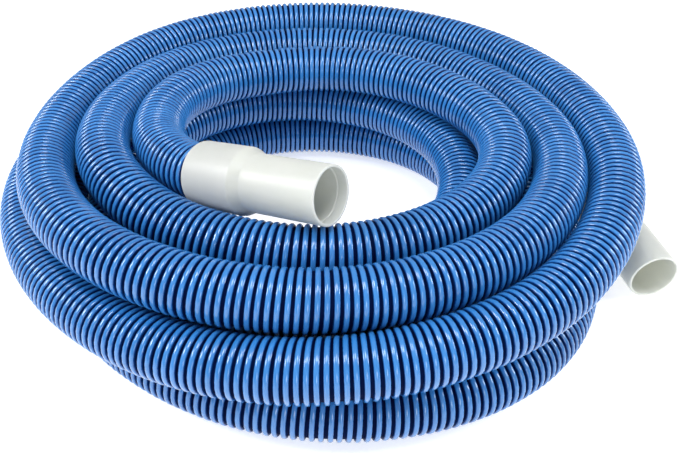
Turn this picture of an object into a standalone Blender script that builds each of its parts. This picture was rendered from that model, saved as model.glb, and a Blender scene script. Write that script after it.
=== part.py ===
"""Spiral-ribbed pool vacuum hose lying in a loose coil, with a swivel cuff and a fixed cuff.

The hose is one hollow tube swept along the coil. Its inner end turns inside the swivel
cuff on a threaded sleeve and a seal ring; its outer end sits in the socket of the fixed cuff.
"""
import math

import bpy
import numpy as np

# hose
HOSE_OD = 0.044
HOSE_FACET_R = 0.0216
HOSE_BORE_R = 0.0190
HOSE_SIDES = 8
RING_STEP = 0.044

# cuffs: a bell that takes the hose, a shoulder, then a nozzle that takes the fitting
CUFF_LENGTH = 0.117
SOCKET_DEPTH = 0.038
BELL_R = 0.0253
BELL_LENGTH = 0.044
SHOULDER_LENGTH = 0.009
NOZZLE_R = 0.0214
NOZZLE_BORE_R = 0.0185
MOUTH_R = 0.0192
MOUTH_DEPTH = 0.0080
EDGE_ROUND = 0.0018
RIM_ROUND = 0.0005
LATHE_SIDES = 40

# inside the swivel bell
CAVITY_R = 0.0237
CAVITY_START = 0.0022
CAVITY_END = 0.0428
LIP_R = 0.0226
SLEEVE_R = 0.0234
SLEEVE_BORE_R = 0.0223
SLEEVE_START = 0.0028
SLEEVE_END = 0.0404
FLANGE_BACK = 0.0384
FLANGE_BORE_R = 0.0194
SEAL_BORE_R = 0.0196
SEAL_R = 0.0233
SEAL_START = 0.0407
SEAL_END = 0.0425

# inside the fixed bell
SOCKET_R = 0.0224
SOCKET_END = 0.0385

# coil: least spacing of two turns in hose diameters, and how they are let settle
GAP = 1.012
SETTLE_STEP = 0.25
SETTLE_ROUNDS = 120
COIL_CENTRE = (0.0136, 0.0229, 0.0)

# azimuth in degrees, plan radius and height of the centre line in hose diameters
ROUTE = (
    (22.5, 6.05, 0.53), (45, 6.33, 0.50), (67.5, 6.42, 0.50), (90, 6.32, 0.50),
    (112.5, 6.14, 0.50), (135, 5.93, 0.50), (157.5, 5.58, 0.50), (180, 5.17, 0.50),
    (225, 4.78, 0.50), (270, 5.05, 0.50), (315, 5.33, 0.50), (337.5, 5.12, 0.50),
    (0, 4.78, 0.50), (22.5, 4.98, 0.50), (45, 5.28, 0.50), (67.5, 5.40, 0.50),
    (90, 5.28, 0.50), (112.5, 5.10, 0.50), (135, 4.88, 0.50), (157.5, 4.52, 0.50),
    (180, 4.13, 0.50), (225, 3.70, 0.50), (270, 3.53, 0.50), (315, 3.55, 0.50),
    (0, 3.44, 0.50), (45, 3.62, 0.50), (90, 3.73, 0.50), (135, 3.83, 0.50),
    (157.5, 3.50, 0.50), (180, 3.08, 0.50), (225, 2.72, 0.82), (270, 2.88, 1.28),
    (315, 2.84, 1.27), (0, 2.90, 1.37), (45, 3.20, 1.42), (90, 3.48, 1.49),
    (135, 3.76, 1.52), (180, 3.82, 1.51), (202.5, 4.05, 1.50), (225, 4.20, 1.38),
    (270, 4.25, 1.24), (315, 4.45, 1.12), (337.5, 4.30, 1.17), (0, 4.13, 1.25),
    (22.5, 4.27, 1.21), (45, 4.58, 1.25), (67.5, 4.86, 1.36), (90, 5.20, 1.50),
    (112.5, 5.55, 1.53), (135, 5.85, 1.53), (157.5, 5.82, 1.51), (180, 5.68, 1.42),
    (225, 5.26, 1.40), (270, 5.27, 1.55), (315, 5.52, 1.85), (0, 5.62, 2.20),
    (45, 5.71, 2.42), (90, 5.69, 2.55), (135, 5.47, 2.52), (180, 5.11, 2.34),
    (225, 4.84, 2.39), (270, 4.51, 2.22), (315, 4.53, 2.18), (0, 4.65, 2.17),
    (45, 4.50, 2.27), (90, 4.50, 2.35), (135, 4.41, 2.42), (180, 4.07, 2.50),
    (202.5, 3.88, 2.51), (225, 3.64, 2.36), (270, 3.38, 2.19), (315, 3.41, 2.16),
    (0, 3.59, 2.28), (45, 3.20, 2.45), (90, 3.13, 2.45), (112.5, 3.14, 2.46),
    (135, 3.23, 2.50), (157.5, 3.23, 2.52), (180, 3.04, 2.52), (202.5, 2.82, 2.62),
)
# rear centre of the bell and pointing direction of each cuff, in hose diameters
SWIVEL_REAR = (-1.87, -1.84, 2.74)
SWIVEL_AIM = (0.820, -0.540, 0.191)
FIXED_REAR = (5.808, 0.721, 0.650)
FIXED_AIM = (0.200, -0.978, -0.060)


def unit(v):
    v = np.array(v, float)
    return v / np.linalg.norm(v)


def polar(azimuth, radius, height):
    a = np.radians(azimuth)
    return np.array([radius * np.cos(a), radius * np.sin(a), height])


def spline(knots, step):
    """Natural cubic through the knots, read off at equal steps along its length."""
    t = np.r_[0, np.cumsum(np.linalg.norm(np.diff(knots, axis=0), axis=1))]
    n = len(t)
    h = np.diff(t)
    a = np.eye(n)
    rhs = np.zeros((n, 3))
    for i in range(1, n - 1):
        a[i, i - 1:i + 2] = h[i - 1], 2 * (h[i - 1] + h[i]), h[i]
        rhs[i] = 6 * ((knots[i + 1] - knots[i]) / h[i] - (knots[i] - knots[i - 1]) / h[i - 1])
    m = np.linalg.solve(a, rhs)
    s = np.linspace(0, t[-1], 20000)
    i = np.clip(np.searchsorted(t, s, side="right") - 1, 0, n - 2)
    u = ((t[i + 1] - s) / h[i])[:, None]
    v = 1 - u
    bend = ((u**3 - u) * m[i] + (v**3 - v) * m[i + 1]) * (h[i]**2)[:, None] / 6
    q = u * knots[i] + v * knots[i + 1] + bend
    c = np.r_[0, np.cumsum(np.linalg.norm(np.diff(q, axis=0), axis=1))]
    at = np.linspace(0, c[-1], int(round(c[-1] / step)) + 1)
    return np.stack([np.interp(at, c, q[:, k]) for k in range(3)], 1)


def crowding(line, others, need, count):
    """Mean push on each point of the line away from the others nearer than need."""
    d = line[:, None] - others[None]
    g = np.linalg.norm(d, axis=2)
    short = np.where(count, np.maximum(need - g, 0), 0)
    total = (d / np.maximum(g, 1e-6)[..., None] * short[..., None]).sum(1)
    return total / np.maximum((short > 0).sum(1), 1)[:, None]


def settle(line, ends):
    """Let crowded turns push each other apart; the floor and the cuffs stay put."""
    n = len(line)
    k = np.arange(n)
    apart = np.abs(k[:, None] - k[None]) * SETTLE_STEP > 2.6
    hold = np.clip((np.minimum(k, n - 1 - k) * SETTLE_STEP - 1.4) / 1.5, 0, 1)[:, None]
    blur = np.exp(-0.5 * (np.arange(-6, 7) / 2.0)**2)
    blur /= blur.sum()
    for _ in range(SETTLE_ROUNDS):
        push = 0.7 * crowding(line, line, GAP, apart)
        for start, (points, radii) in ends:
            own = (k if start else n - 1 - k) * SETTLE_STEP < 2.6
            count = np.repeat(~own[:, None], len(points), 1)
            push += crowding(line, points, 0.5 + radii + 0.012, count)
        push = np.stack([np.convolve(push[:, j], blur, "same") for j in range(3)], 1)
        line = line + hold * push
        line[:, 2] = np.maximum(line[:, 2], 0.5)
    return line


def hose_line(step):
    """Centre line of the hose from the fixed cuff to the swivel cuff, in metres."""
    rear_s, aim_s = np.array(SWIVEL_REAR), unit(SWIVEL_AIM)
    rear_f, aim_f = np.array(FIXED_REAR), unit(FIXED_AIM)
    deep = SOCKET_DEPTH / HOSE_OD
    long = CUFF_LENGTH / HOSE_OD
    run = np.linspace(0, long, 14)[:, None]
    radii = np.where(run[:, 0] < 1.2, 0.58, 0.49)
    ends = ((True, (rear_f + run * aim_f, radii)), (False, (rear_s + run * aim_s, radii)))
    knots = [rear_f + deep * aim_f, rear_f + deep / 2 * aim_f, rear_f]
    knots += [polar(*row) for row in ROUTE]
    knots += [rear_s, rear_s + deep / 2 * aim_s, rear_s + deep * aim_s]
    line = settle(spline(np.array(knots), SETTLE_STEP), ends)
    line = spline(np.vstack([line[:-1:2], line[-1:]]), step / HOSE_OD)
    return line * HOSE_OD - np.array(COIL_CENTRE)


def clear_scene():
    for item in list(bpy.data.objects):
        bpy.data.objects.remove(item, do_unlink=True)


def plastic(name, colour, roughness):
    mat = bpy.data.materials.new(name)
    mat.use_nodes = True
    shader = mat.node_tree.nodes["Principled BSDF"]
    shader.inputs["Base Color"].default_value = (*colour, 1.0)
    shader.inputs["Roughness"].default_value = roughness
    return mat


def add_solid(name, verts, faces, mat, origin):
    mesh = bpy.data.meshes.new(name)
    mesh.from_pydata([tuple(v - origin) for v in verts], [], faces)
    mesh.validate()
    mesh.polygons.foreach_set("use_smooth", [True] * len(mesh.polygons))
    mesh.set_sharp_from_angle(angle=math.radians(50))
    mesh.materials.append(mat)
    item = bpy.data.objects.new(name, mesh)
    item.location = origin
    bpy.context.scene.collection.objects.link(item)
    return item


def cross_axes(along):
    """A level direction and an upward one, both square to the given direction."""
    side = unit(np.cross(along, (0, 0, 1)))
    return side, np.cross(side, along)


def ring(centre, along, radius, sides):
    side, up = cross_axes(along)
    turn = np.arange(sides) * 2 * math.pi / sides
    return centre + radius * (np.cos(turn)[:, None] * side + np.sin(turn)[:, None] * up)


def skin(loops, sides):
    """Faces of a closed body of revolution or sweep whose rings close on themselves."""
    faces = []
    for i in range(loops):
        j = (i + 1) % loops
        for k in range(sides):
            n = (k + 1) % sides
            faces.append((i * sides + k, j * sides + k, j * sides + n, i * sides + n))
    return faces


def add_tube(name, line, outer, inner, sides, mat):
    """Hollow tube: rings out along the outside, then back along the bore."""
    along = np.gradient(line, axis=0)
    rings = [ring(p, unit(a), outer, sides) for p, a in zip(line, along)]
    rings += [ring(p, unit(a), inner, sides) for p, a in zip(line[::-1], along[::-1])]
    return add_solid(name, np.vstack(rings), skin(len(rings), sides), mat, line[0])


def add_lathe(name, rear, aim, profile, mat):
    """Body of revolution; the profile runs up the outside and back along the bore."""
    rings = [ring(rear + t * aim, aim, r, LATHE_SIDES) for t, r in profile]
    return add_solid(name, np.vstack(rings), skin(len(rings), LATHE_SIDES), mat, rear)


def edge_arc(t, r, radius, start, steps=3):
    """Points of a quarter round from start degrees, in (along, radius) about its centre."""
    turn = [math.radians(start - 90 * k / steps) for k in range(steps + 1)]
    return [(t + radius * math.cos(a), r + radius * math.sin(a)) for a in turn]


def cuff_outside():
    """Rear edge, bell, soft shoulder, nozzle and rim, from the rear to the mouth."""
    profile = edge_arc(EDGE_ROUND, BELL_R - EDGE_ROUND, EDGE_ROUND, 180)
    drop = BELL_R - NOZZLE_R
    for k in range(7):
        part = k / 6
        blend = 0.2 * part * part * (3 - 2 * part) + 0.8 * part
        profile.append((BELL_LENGTH + SHOULDER_LENGTH * part, BELL_R - drop * blend))
    profile += edge_arc(CUFF_LENGTH - RIM_ROUND, NOZZLE_R - RIM_ROUND, RIM_ROUND, 90, 1)
    return profile


def swivel_profile():
    """The mouth has a lead-in; behind it the bore runs back to the cavity."""
    inside = [(CUFF_LENGTH, MOUTH_R), (CUFF_LENGTH - MOUTH_DEPTH, MOUTH_R),
              (CUFF_LENGTH - MOUTH_DEPTH - 0.0006, NOZZLE_BORE_R), (CAVITY_END, NOZZLE_BORE_R)]
    inside += [(CAVITY_END, CAVITY_R), (CAVITY_START, CAVITY_R), (CAVITY_START, LIP_R), (0, LIP_R)]
    return cuff_outside() + inside


def fixed_profile():
    """One straight bore from the mouth back to the socket the hose is bonded in."""
    inside = [(CUFF_LENGTH, MOUTH_R), (SOCKET_END, MOUTH_R), (SOCKET_END, SOCKET_R), (0, SOCKET_R)]
    return cuff_outside() + inside


def sleeve_profile():
    return [(SLEEVE_START, SLEEVE_BORE_R), (SLEEVE_START, SLEEVE_R), (SLEEVE_END, SLEEVE_R),
            (SLEEVE_END, FLANGE_BORE_R), (FLANGE_BACK, FLANGE_BORE_R),
            (FLANGE_BACK, SLEEVE_BORE_R)]


def seal_profile():
    return [(SEAL_START, SEAL_BORE_R), (SEAL_START, SEAL_R), (SEAL_END, SEAL_R),
            (SEAL_END, SEAL_BORE_R)]


def build():
    clear_scene()
    blue = plastic("hose_blue", (0.03, 0.16, 0.62), 0.35)
    swivel_white = plastic("swivel_cuff_white", (0.80, 0.81, 0.78), 0.45)
    fixed_white = plastic("fixed_cuff_white", (0.80, 0.81, 0.78), 0.45)
    sleeve_grey = plastic("sleeve_grey", (0.45, 0.46, 0.46), 0.5)
    seal_black = plastic("seal_black", (0.02, 0.02, 0.02), 0.7)

    centre = np.array(COIL_CENTRE)
    rear_s = np.array(SWIVEL_REAR) * HOSE_OD - centre
    rear_f = np.array(FIXED_REAR) * HOSE_OD - centre
    aim_s = unit(SWIVEL_AIM)
    aim_f = unit(FIXED_AIM)

    add_tube("hose", hose_line(RING_STEP), HOSE_FACET_R, HOSE_BORE_R, HOSE_SIDES, blue)
    add_lathe("threaded_sleeve", rear_s, aim_s, sleeve_profile(), sleeve_grey)
    add_lathe("seal_ring", rear_s, aim_s, seal_profile(), seal_black)
    add_lathe("swivel_cuff", rear_s, aim_s, swivel_profile(), swivel_white)
    add_lathe("fixed_cuff", rear_f, aim_f, fixed_profile(), fixed_white)


build()
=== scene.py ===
"""Coiled pool vacuum hose: studio scene over the CAD frame, with the detailed visible pieces."""

import math

import bpy
import numpy as np
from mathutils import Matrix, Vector


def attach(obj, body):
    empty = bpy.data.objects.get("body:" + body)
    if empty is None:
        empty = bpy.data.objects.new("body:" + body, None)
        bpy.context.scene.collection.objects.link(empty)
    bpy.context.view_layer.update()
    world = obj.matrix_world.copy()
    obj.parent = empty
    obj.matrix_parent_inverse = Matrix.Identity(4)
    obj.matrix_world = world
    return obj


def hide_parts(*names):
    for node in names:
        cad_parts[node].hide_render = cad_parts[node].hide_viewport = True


# camera
CAMERA_AT = (0.0054, -0.5902, 0.4231)
CAMERA_PITCH = 54.17
CAMERA_LENS = 40.3

# hose
HOSE_OD = 0.044
COIL_CENTRE = (0.0136, 0.0229, 0.0)
LINE_STEP = 0.002
# the ribbed turns lie closer here than the faceted CAD tube's, so no light shows between them
GAP = 1.004
SETTLE_STEP = 0.25
SETTLE_ROUNDS = 120
WALL_R = 0.0195
WALL_BORE_R = 0.0190
WALL_SIDES = 24
WALL_STEP = 0.010
RIB_PITCH = 0.00577
RIB_STEPS = 24
RIB_MARGIN = 0.0022
# rib section: offset along the hose and distance from its centre line
RIB_SECTION = ((-0.00190, 0.0193), (-0.00188, 0.0208), (-0.00158, 0.0214), (-0.00092, 0.02182),
               (0.0, 0.02195), (0.00092, 0.02182), (0.00158, 0.0214), (0.00188, 0.0208),
               (0.00190, 0.0193))
# how unevenly the rib lies: along the hose and outwards
RIB_WANDER = 0.00014
RIB_RISE = 0.00007

# cuffs
CUFF_LENGTH = 0.117
SOCKET_DEPTH = 0.038
BELL_R = 0.0253
BELL_LENGTH = 0.044
SHOULDER_LENGTH = 0.009
NOZZLE_R = 0.0214
NOZZLE_BORE_R = 0.0185
MOUTH_R = 0.0192
MOUTH_DEPTH = 0.0080
EDGE_ROUND = 0.0018
RIM_ROUND = 0.0008
INNER_ROUND = 0.0004
LATHE_SIDES = 128

# inside the swivel bell, as distances along the cuff from its rear edge and radii
CAVITY_START = 0.0022
CAVITY_END = 0.0428
CAVITY_R = 0.0237
LIP_R = 0.0226
SLEEVE_START = 0.0028
SLEEVE_END = 0.0404
SLEEVE_R = 0.0234
SLEEVE_BORE_R = 0.0224
FLANGE_BACK = 0.0384
FLANGE_BORE_R = 0.0194
GROOVE_COUNT = 8
GROOVE_PITCH = 0.004
SEAL_CENTRE = 0.0416
SEAL_R = 0.0226
SEAL_BORE_R = 0.0203
SEAL_ROUND = 0.0007

# inside the fixed bell
SOCKET_END = 0.0385
SOCKET_R = 0.0224

# studio floor
FLOOR_REACH = 6
FLOOR_Z = -0.0004

# azimuth in degrees, plan radius and height of the centre line in hose diameters
ROUTE = (
    (22.5, 6.05, 0.53), (45, 6.33, 0.50), (67.5, 6.42, 0.50), (90, 6.32, 0.50),
    (112.5, 6.14, 0.50), (135, 5.93, 0.50), (157.5, 5.58, 0.50), (180, 5.17, 0.50),
    (225, 4.78, 0.50), (270, 5.05, 0.50), (315, 5.33, 0.50), (337.5, 5.12, 0.50),
    (0, 4.78, 0.50), (22.5, 4.98, 0.50), (45, 5.28, 0.50), (67.5, 5.40, 0.50),
    (90, 5.28, 0.50), (112.5, 5.10, 0.50), (135, 4.88, 0.50), (157.5, 4.52, 0.50),
    (180, 4.13, 0.50), (225, 3.70, 0.50), (270, 3.53, 0.50), (315, 3.55, 0.50),
    (0, 3.44, 0.50), (45, 3.62, 0.50), (90, 3.73, 0.50), (135, 3.83, 0.50),
    (157.5, 3.50, 0.50), (180, 3.08, 0.50), (225, 2.72, 0.82), (270, 2.88, 1.28),
    (315, 2.84, 1.27), (0, 2.90, 1.37), (45, 3.20, 1.42), (90, 3.48, 1.49),
    (135, 3.76, 1.52), (180, 3.82, 1.51), (202.5, 4.05, 1.50), (225, 4.20, 1.38),
    (270, 4.25, 1.24), (315, 4.45, 1.12), (337.5, 4.30, 1.17), (0, 4.13, 1.25),
    (22.5, 4.27, 1.21), (45, 4.58, 1.25), (67.5, 4.86, 1.36), (90, 5.20, 1.50),
    (112.5, 5.55, 1.53), (135, 5.85, 1.53), (157.5, 5.82, 1.51), (180, 5.68, 1.42),
    (225, 5.26, 1.40), (270, 5.27, 1.55), (315, 5.50, 1.87), (0, 5.62, 2.20),
    (45, 5.71, 2.42), (90, 5.69, 2.55), (135, 5.47, 2.52), (180, 5.11, 2.34),
    (225, 4.84, 2.39), (270, 4.51, 2.22), (315, 4.53, 2.18), (0, 4.65, 2.17),
    (45, 4.50, 2.27), (90, 4.50, 2.35), (135, 4.41, 2.42), (180, 4.07, 2.50),
    (202.5, 3.88, 2.51), (225, 3.64, 2.36), (270, 3.38, 2.19), (315, 3.41, 2.16),
    (0, 3.59, 2.28), (45, 3.20, 2.45), (90, 3.13, 2.45), (112.5, 3.14, 2.46),
    (135, 3.23, 2.50), (157.5, 3.23, 2.52), (180, 3.04, 2.52), (202.5, 2.82, 2.62),
)
# rear centre of the bell and pointing direction of each cuff, in hose diameters
SWIVEL_REAR = (-1.87, -1.84, 2.74)
SWIVEL_AIM = (0.820, -0.540, 0.191)
FIXED_REAR = (5.808, 0.721, 0.650)
FIXED_AIM = (0.200, -0.978, -0.060)


def unit(v):
    v = np.array(v, float)
    return v / np.linalg.norm(v)


def polar(azimuth, radius, height):
    a = np.radians(azimuth)
    return np.array([radius * np.cos(a), radius * np.sin(a), height])


def spline(knots, step):
    """Natural cubic through the knots, read off at equal steps along its length."""
    t = np.r_[0, np.cumsum(np.linalg.norm(np.diff(knots, axis=0), axis=1))]
    n = len(t)
    h = np.diff(t)
    a = np.eye(n)
    rhs = np.zeros((n, 3))
    for i in range(1, n - 1):
        a[i, i - 1:i + 2] = h[i - 1], 2 * (h[i - 1] + h[i]), h[i]
        rhs[i] = 6 * ((knots[i + 1] - knots[i]) / h[i] - (knots[i] - knots[i - 1]) / h[i - 1])
    m = np.linalg.solve(a, rhs)
    s = np.linspace(0, t[-1], 20000)
    i = np.clip(np.searchsorted(t, s, side="right") - 1, 0, n - 2)
    u = ((t[i + 1] - s) / h[i])[:, None]
    v = 1 - u
    bend = ((u**3 - u) * m[i] + (v**3 - v) * m[i + 1]) * (h[i]**2)[:, None] / 6
    q = u * knots[i] + v * knots[i + 1] + bend
    c = np.r_[0, np.cumsum(np.linalg.norm(np.diff(q, axis=0), axis=1))]
    at = np.linspace(0, c[-1], int(round(c[-1] / step)) + 1)
    return np.stack([np.interp(at, c, q[:, k]) for k in range(3)], 1)


def crowding(line, others, need, count):
    """Mean push on each point of the line away from the others nearer than need."""
    d = line[:, None] - others[None]
    g = np.linalg.norm(d, axis=2)
    short = np.where(count, np.maximum(need - g, 0), 0)
    total = (d / np.maximum(g, 1e-6)[..., None] * short[..., None]).sum(1)
    return total / np.maximum((short > 0).sum(1), 1)[:, None]


def settle(line, ends):
    """Let crowded turns push each other apart; the floor and the cuffs stay put."""
    n = len(line)
    k = np.arange(n)
    apart = np.abs(k[:, None] - k[None]) * SETTLE_STEP > 2.6
    hold = np.clip((np.minimum(k, n - 1 - k) * SETTLE_STEP - 1.4) / 1.5, 0, 1)[:, None]
    blur = np.exp(-0.5 * (np.arange(-6, 7) / 2.0)**2)
    blur /= blur.sum()
    for _ in range(SETTLE_ROUNDS):
        push = 0.7 * crowding(line, line, GAP, apart)
        for start, (points, radii) in ends:
            own = (k if start else n - 1 - k) * SETTLE_STEP < 2.6
            count = np.repeat(~own[:, None], len(points), 1)
            push += crowding(line, points, 0.5 + radii + 0.012, count)
        push = np.stack([np.convolve(push[:, j], blur, "same") for j in range(3)], 1)
        line = line + hold * push
        line[:, 2] = np.maximum(line[:, 2], 0.5)
    return line


def hose_line(step):
    """Centre line of the hose from the fixed cuff to the swivel cuff, in metres."""
    rear_s, aim_s = np.array(SWIVEL_REAR), unit(SWIVEL_AIM)
    rear_f, aim_f = np.array(FIXED_REAR), unit(FIXED_AIM)
    deep = SOCKET_DEPTH / HOSE_OD
    long = CUFF_LENGTH / HOSE_OD
    run = np.linspace(0, long, 14)[:, None]
    radii = np.where(run[:, 0] < 1.2, 0.58, 0.49)
    ends = ((True, (rear_f + run * aim_f, radii)), (False, (rear_s + run * aim_s, radii)))
    knots = [rear_f + deep * aim_f, rear_f + deep / 2 * aim_f, rear_f]
    knots += [polar(*row) for row in ROUTE]
    knots += [rear_s, rear_s + deep / 2 * aim_s, rear_s + deep * aim_s]
    line = settle(spline(np.array(knots), SETTLE_STEP), ends)
    line = spline(np.vstack([line[:-1:2], line[-1:]]), step / HOSE_OD)
    return line * HOSE_OD - np.array(COIL_CENTRE)


def level_axes(along):
    """For each direction, a level one and an upward one, both square to it."""
    side = np.cross(along, (0.0, 0.0, 1.0))
    side /= np.linalg.norm(side, axis=1)[:, None]
    return side, np.cross(side, along)


def link(name, verts, faces, smooth_angle=40):
    """A smooth-shaded mesh object; edges sharper than the angle stay sharp."""
    mesh = bpy.data.meshes.new(name)
    mesh.vertices.add(len(verts))
    mesh.vertices.foreach_set("co", np.asarray(verts, np.float32).ravel())
    sizes = np.array([len(f) for f in faces])
    mesh.loops.add(int(sizes.sum()))
    mesh.loops.foreach_set("vertex_index", np.concatenate(faces).astype(np.int32))
    mesh.polygons.add(len(faces))
    mesh.polygons.foreach_set("loop_start", np.r_[0, np.cumsum(sizes)[:-1]].astype(np.int32))
    mesh.update(calc_edges=True)
    mesh.validate()
    mesh.polygons.foreach_set("use_smooth", np.ones(len(mesh.polygons), bool))
    mesh.set_sharp_from_angle(angle=math.radians(smooth_angle))
    item = bpy.data.objects.new(name, mesh)
    bpy.context.scene.collection.objects.link(item)
    return item


def grid_faces(rings, sides, closed):
    """Quads between neighbouring rings; closed joins the last ring to the first."""
    i = np.arange(rings if closed else rings - 1)[:, None]
    k = np.arange(sides)[None]
    n = (k + 1) % sides
    j = (i + 1) % rings
    return np.stack([i * sides + k, j * sides + k, j * sides + n, i * sides + n], 2).reshape(-1, 4)


def make_wall(line):
    """The thin dark wall between the ribs, as a hollow tube with open ends."""
    along = np.gradient(line, axis=0)
    along /= np.linalg.norm(along, axis=1)[:, None]
    side, up = level_axes(along)
    turn = np.arange(WALL_SIDES) * 2 * math.pi / WALL_SIDES
    spoke = np.cos(turn)[None, :, None] * side[:, None] + np.sin(turn)[None, :, None] * up[:, None]
    outside = line[:, None] + WALL_R * spoke
    inside = (line[:, None] + WALL_BORE_R * spoke)[::-1]
    verts = np.concatenate([outside, inside]).reshape(-1, 3)
    return link("hose_wall", verts, list(grid_faces(2 * len(line), WALL_SIDES, True)))


def make_rib(line):
    """One rounded rib wound round the whole hose; slot 1 is its shoulders, slot 2 its flanks,
    coloured darker and darker blue as painted shade of the rounded section.
    """
    step = np.linalg.norm(line[1] - line[0])
    total = step * (len(line) - 1)
    along = np.gradient(line, axis=0)
    along /= np.linalg.norm(along, axis=1)[:, None]
    count = int((total - 2 * RIB_MARGIN) / RIB_PITCH * RIB_STEPS)
    s = np.linspace(RIB_MARGIN, total - RIB_MARGIN, count)
    at = np.arange(len(line)) * step
    centre = np.stack([np.interp(s, at, line[:, k]) for k in range(3)], 1)
    tangent = np.stack([np.interp(s, at, along[:, k]) for k in range(3)], 1)
    tangent /= np.linalg.norm(tangent, axis=1)[:, None]
    side, up = level_axes(tangent)
    turn = s * 2 * math.pi / RIB_PITCH
    spoke = np.cos(turn)[:, None] * side + np.sin(turn)[:, None] * up
    section = np.array(RIB_SECTION)
    wander = RIB_WANDER * (np.sin(211 * s) + np.sin(587 * s + 1)) / 2
    rise = RIB_RISE * (np.sin(139 * s + 2) + np.sin(463 * s)) / 2
    out = section[None, :, 1] + rise[:, None]
    shift = section[None, :, 0] + wander[:, None]
    verts = centre[:, None] + out[..., None] * spoke[:, None] + shift[..., None] * tangent[:, None]
    sides = len(section)
    faces = list(grid_faces(count, sides, False)[:, ::-1])
    faces.append(np.arange(sides))
    faces.append(np.arange(sides)[::-1] + (count - 1) * sides)
    item = link("hose_rib", verts.reshape(-1, 3), faces)
    # Shoulder and flank faces take the darker blues: painted shade across the rounded rib section.
    column = np.arange(len(item.data.polygons)) % sides
    shoulder = (column == 1) | (column == sides - 3)
    flank = (column == 0) | (column >= sides - 2)
    item.data.polygons.foreach_set("material_index", (shoulder + 2 * flank).astype(np.int32))
    return item


def make_lathe(name, rear, aim, profile):
    """Body of revolution about a cuff's axis; profile rows are (along, radius)."""
    turn = np.arange(LATHE_SIDES) * 2 * math.pi / LATHE_SIDES
    rows = [np.stack([r * np.cos(turn), r * np.sin(turn), np.full(LATHE_SIDES, t)], 1)
            for t, r in profile]
    faces = list(grid_faces(len(rows), LATHE_SIDES, True)[:, ::-1])
    side, up = level_axes(np.array([aim]))
    item = link(name, np.concatenate(rows) @ np.array((side[0], -up[0], aim)), faces, 30)
    item.location = rear
    return item


def arc(t, r, radius, start, end, steps):
    """Round stretch of a profile about (t, r), from one angle in degrees to another."""
    turn = np.radians(np.linspace(start, end, steps + 1))
    return [(t + radius * math.cos(a), r + radius * math.sin(a)) for a in turn]


def outside_profile():
    """Rear edge, bell, soft shoulder, nozzle and its rounded rim."""
    rows = arc(EDGE_ROUND, BELL_R - EDGE_ROUND, EDGE_ROUND, 180, 90, 8)
    rows += [(0.012, BELL_R), (0.028, BELL_R), (BELL_LENGTH - 0.0008, BELL_R)]
    drop = BELL_R - NOZZLE_R
    for k in range(1, 17):
        part = k / 16
        blend = 0.2 * part * part * (3 - 2 * part) + 0.8 * part
        rows.append((BELL_LENGTH + SHOULDER_LENGTH * part, BELL_R - drop * blend))
    rows += [(0.070, NOZZLE_R), (0.090, NOZZLE_R - 0.00005), (0.108, NOZZLE_R - 0.0001)]
    rim = NOZZLE_R - 0.0001
    rows += arc(CUFF_LENGTH - RIM_ROUND, rim - RIM_ROUND, RIM_ROUND, 90, 0, 6)
    rows += arc(CUFF_LENGTH - INNER_ROUND, MOUTH_R + INNER_ROUND, INNER_ROUND, 0, -90, 4)
    return rows


def swivel_profile():
    """The mouth has a lead-in; behind it the bore runs back to the sleeve's cavity."""
    back = CUFF_LENGTH - MOUTH_DEPTH
    inside = [(back + 0.0003, MOUTH_R), (back, MOUTH_R - 0.0002),
              (back - 0.0002, NOZZLE_BORE_R + 0.0002), (back - 0.0005, NOZZLE_BORE_R),
              (0.085, NOZZLE_BORE_R), (0.060, NOZZLE_BORE_R),
              (CAVITY_END + INNER_ROUND, NOZZLE_BORE_R), (CAVITY_END, NOZZLE_BORE_R + INNER_ROUND)]
    inside += [(CAVITY_END, CAVITY_R - INNER_ROUND), (CAVITY_END - INNER_ROUND, CAVITY_R)]
    inside += [(CAVITY_START, CAVITY_R), (CAVITY_START, LIP_R + INNER_ROUND),
               (CAVITY_START - INNER_ROUND, LIP_R), (INNER_ROUND, LIP_R),
               (0.0, LIP_R + INNER_ROUND)]
    return outside_profile() + inside


def fixed_profile():
    """One straight bore from the mouth back to the socket the hose is bonded in."""
    inside = [(0.100, MOUTH_R), (0.070, MOUTH_R), (SOCKET_END + INNER_ROUND, MOUTH_R)]
    inside += [(SOCKET_END, MOUTH_R + INNER_ROUND), (SOCKET_END, SOCKET_R - INNER_ROUND)]
    inside += [(SOCKET_END - INNER_ROUND, SOCKET_R), (0.0008, SOCKET_R), (0.0, SOCKET_R + 0.0006)]
    return outside_profile() + inside


def sleeve_profile():
    """Sleeve with a flange at the front and shallow grip grooves round its outside."""
    low = SLEEVE_R - 0.0003
    rows = [(SLEEVE_START, SLEEVE_BORE_R), (SLEEVE_START, low), (SLEEVE_START + 0.0003, SLEEVE_R)]
    for k in range(GROOVE_COUNT):
        t = 0.006 + GROOVE_PITCH * k
        rows += [(t, SLEEVE_R), (t + 0.0003, low), (t + 0.0012, low), (t + 0.0015, SLEEVE_R)]
    rows += [(SLEEVE_END - 0.0003, SLEEVE_R), (SLEEVE_END, low),
             (SLEEVE_END, FLANGE_BORE_R + 0.0002), (SLEEVE_END - 0.0002, FLANGE_BORE_R),
             (FLANGE_BACK + 0.0002, FLANGE_BORE_R), (FLANGE_BACK, FLANGE_BORE_R + 0.0002),
             (FLANGE_BACK, SLEEVE_BORE_R)]
    return rows


def seal_profile():
    """Flat ring with round outer and inner edges."""
    rows = arc(SEAL_CENTRE, SEAL_R, SEAL_ROUND, 180, 0, 8)
    return rows + arc(SEAL_CENTRE, SEAL_BORE_R, SEAL_ROUND, 0, -180, 8)


def noise(tree, coords, scale, detail):
    """Noise over the piece's own coordinates."""
    item = tree.nodes.new("ShaderNodeTexNoise")
    item.inputs["Scale"].default_value = scale
    item.inputs["Detail"].default_value = detail
    tree.links.new(coords, item.inputs["Vector"])
    return item.outputs["Fac"]


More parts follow.
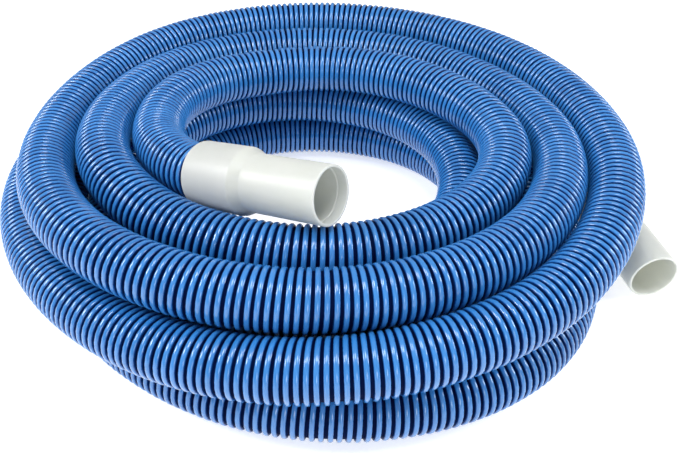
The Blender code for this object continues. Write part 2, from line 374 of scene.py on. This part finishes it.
def ramp(tree, value, stops):
    """Colour that follows a value through (place, colour) stops."""
    item = tree.nodes.new("ShaderNodeValToRGB")
    band = item.color_ramp
    band.elements[0].position, band.elements[0].color = stops[0][0], (*stops[0][1], 1)
    band.elements[1].position, band.elements[1].color = stops[-1][0], (*stops[-1][1], 1)
    for place, colour in stops[1:-1]:
        extra = band.elements.new(place)
        extra.color = (*colour, 1)
    tree.links.new(value, item.inputs["Fac"])
    return item.outputs["Color"]


def spread(tree, value, low, high):
    """Stretch noise, which mostly lies between 0.3 and 0.7, to run from low to high."""
    item = tree.nodes.new("ShaderNodeMapRange")
    item.inputs["From Min"].default_value = 0.3
    item.inputs["From Max"].default_value = 0.7
    item.inputs["To Min"].default_value = low
    item.inputs["To Max"].default_value = high
    tree.links.new(value, item.inputs["Value"])
    return item.outputs["Result"]


def moulded(name, stops, rough, scales, bumps, specular=0.5, coat=0.0, glow=0.0):
    """Plastic or rubber with mottled colour, uneven gloss and two sizes of surface relief."""
    mat = bpy.data.materials.new(name)
    mat.use_nodes = True
    tree = mat.node_tree
    shader = tree.nodes["Principled BSDF"]
    coords = tree.nodes.new("ShaderNodeTexCoord").outputs["Object"]
    broad = noise(tree, coords, scales[0], 4)
    fine = noise(tree, coords, scales[1], 6)
    tree.links.new(ramp(tree, broad, stops), shader.inputs["Base Color"])
    tree.links.new(spread(tree, fine, *rough), shader.inputs["Roughness"])
    shader.inputs["Specular IOR Level"].default_value = specular
    shader.inputs["Coat Weight"].default_value = coat
    shader.inputs["Coat Roughness"].default_value = 0.14
    shader.inputs["Subsurface Weight"].default_value = glow
    shader.inputs["Subsurface Radius"].default_value = (1.0, 1.0, 0.9)
    shader.inputs["Subsurface Scale"].default_value = 0.008
    first = tree.nodes.new("ShaderNodeBump")
    first.inputs["Strength"].default_value = bumps[0]
    first.inputs["Distance"].default_value = 0.0004
    tree.links.new(broad, first.inputs["Height"])
    second = tree.nodes.new("ShaderNodeBump")
    second.inputs["Strength"].default_value = bumps[1]
    second.inputs["Distance"].default_value = 0.0001
    tree.links.new(fine, second.inputs["Height"])
    tree.links.new(first.outputs["Normal"], second.inputs["Normal"])
    tree.links.new(second.outputs["Normal"], shader.inputs["Normal"])
    return mat


def area_light(name, at, target, size, power):
    """Round soft light aimed at a target."""
    lamp = bpy.data.lights.new(name, "AREA")
    lamp.shape = "DISK"
    lamp.size = size
    lamp.energy = power
    item = bpy.data.objects.new(name, lamp)
    item.location = at
    item.rotation_euler = (Vector(target) - Vector(at)).to_track_quat("-Z", "Y").to_euler()
    bpy.context.scene.collection.objects.link(item)


def make_studio():
    """Plain white floor, even white surroundings and four soft lights."""
    signs = ((-1, -1), (1, -1), (1, 1), (-1, 1))
    corner_points = [(x * FLOOR_REACH, y * FLOOR_REACH, FLOOR_Z) for x, y in signs]
    floor = link("studio_floor", corner_points, [np.arange(4)])
    mat = bpy.data.materials.new("studio_white")
    mat.use_nodes = True
    shader = mat.node_tree.nodes["Principled BSDF"]
    shader.inputs["Base Color"].default_value = (0.80, 0.80, 0.80, 1)
    shader.inputs["Roughness"].default_value = 0.9
    shader.inputs["Specular IOR Level"].default_value = 0.1
    shader.inputs["Emission Color"].default_value = (1, 1, 1, 1)
    shader.inputs["Emission Strength"].default_value = 0.62
    floor.data.materials.append(mat)
    world = bpy.data.worlds.new("studio_world")
    world.use_nodes = True
    back = world.node_tree.nodes["Background"]
    back.inputs["Color"].default_value = (1.0, 1.0, 1.0, 1)
    back.inputs["Strength"].default_value = 0.42
    bpy.context.scene.world = world
    area_light("left_light", (-1.30, -0.25, 1.00), (0, 0, 0.05), 0.55, 15)
    area_light("right_light", (1.40, -0.10, 0.75), (0, 0, 0.05), 0.50, 10)
    area_light("top_light", (0.0, -0.35, 1.55), (0, 0, 0.05), 0.60, 12)
    area_light("front_light", (0.25, -1.60, 0.55), (0, 0, 0.05), 0.60, 6)


def make_camera():
    """Camera in front of the coil, looking down at it."""
    lens = bpy.data.cameras.new("photo_camera")
    lens.lens = CAMERA_LENS
    lens.sensor_width = 36.0
    lens.clip_start = 0.02
    item = bpy.data.objects.new("photo_camera", lens)
    item.location = CAMERA_AT
    item.rotation_euler = (math.radians(CAMERA_PITCH), 0, 0)
    bpy.context.scene.collection.objects.link(item)
    bpy.context.scene.camera = item


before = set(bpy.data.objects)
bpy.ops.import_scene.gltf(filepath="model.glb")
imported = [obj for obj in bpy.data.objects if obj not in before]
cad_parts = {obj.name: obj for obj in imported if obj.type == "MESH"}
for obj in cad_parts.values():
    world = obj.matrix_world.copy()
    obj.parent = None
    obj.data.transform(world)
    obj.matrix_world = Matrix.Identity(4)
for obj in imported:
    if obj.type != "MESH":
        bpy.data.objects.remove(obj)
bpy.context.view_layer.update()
bpy.context.scene.view_settings.view_transform = "Standard"
make_camera()

centre = np.array(COIL_CENTRE)
rear_s = np.array(SWIVEL_REAR) * HOSE_OD - centre
rear_f = np.array(FIXED_REAR) * HOSE_OD - centre
aim_s = unit(SWIVEL_AIM)
aim_f = unit(FIXED_AIM)

line = hose_line(LINE_STEP)
stride = round(WALL_STEP / LINE_STEP)
wall_line = np.array([line[i] for i in range(0, len(line), stride)] + [line[-1]])
hose_wall = make_wall(wall_line)
hose_rib = make_rib(line)
swivel_cuff = make_lathe("swivel_cuff_shell", rear_s, aim_s, swivel_profile())
fixed_cuff = make_lathe("fixed_cuff_shell", rear_f, aim_f, fixed_profile())
sleeve = make_lathe("hose_end_sleeve", rear_s, aim_s, sleeve_profile())
seal = make_lathe("swivel_seal", rear_s, aim_s, seal_profile())

blue = moulded("eva_blue", ((0.30, (0.024, 0.165, 0.465)), (0.50, (0.031, 0.192, 0.525)),
                            (0.72, (0.041, 0.218, 0.575))), (0.14, 0.24), (28, 260), (0.04, 0.03),
               coat=0.55)
# Darker, more saturated blue on the rib's shoulders: painted shade of the same blue plastic across
# its rounded section.
deep = moulded("eva_blue_shoulder_painted_shade", ((0.30, (0.004, 0.070, 0.290)), (0.70, (0.008, 0.098, 0.360))),
               (0.22, 0.36), (28, 260), (0.05, 0.06), specular=0.4, coat=0.25)
# Dark navy on the rib's flanks: painted shade where the rounded rib turns down into the groove.
flank_painted_shade = moulded("eva_blue_flank_painted_shade", ((0.3, (0.0006, 0.018, 0.105)), (0.7, (0.0012, 0.028, 0.145))),
               (0.40, 0.60), (60, 400), (0.05, 0.05), specular=0.15)
dark = moulded("eva_dark_wall", ((0.3, (0.0001, 0.003, 0.030)), (0.7, (0.0003, 0.006, 0.045))),
               (0.60, 0.80), (60, 400), (0.1, 0.1), specular=0.03)
white = moulded("cuff_offwhite", ((0.30, (0.525, 0.545, 0.510)), (0.55, (0.555, 0.573, 0.540)),
                                  (0.75, (0.58, 0.595, 0.565))), (0.34, 0.50), (24, 420),
                (0.05, 0.10), glow=0.75)
grey = moulded("sleeve_grey", ((0.3, (0.30, 0.31, 0.31)), (0.7, (0.38, 0.39, 0.39))),
               (0.45, 0.6), (60, 500), (0.1, 0.15))
black = moulded("seal_rubber", ((0.3, (0.012, 0.012, 0.012)), (0.7, (0.022, 0.022, 0.022))),
                (0.6, 0.8), (80, 600), (0.1, 0.2))

for item, mat, body, stands_for, finish in (
        (hose_wall, dark, "hose", "hose", None),
        (hose_rib, blue, "hose", "hose", "hose_blue"),
        (fixed_cuff, white, "hose", "fixed_cuff", "fixed_cuff_white"),
        (sleeve, grey, "hose", "threaded_sleeve", "sleeve_grey"),
        (seal, black, "hose", "seal_ring", "seal_black"),
        (swivel_cuff, white, "swivel", "swivel_cuff", "swivel_cuff_white")):
    item.data.materials.append(mat)
    if item == hose_rib:
        # The rib's shoulders and flanks get the painted shade blues.
        item.data.materials.append(deep)
        item.data.materials.append(flank_painted_shade)
    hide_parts(stands_for)
    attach(item, body)

make_studio()
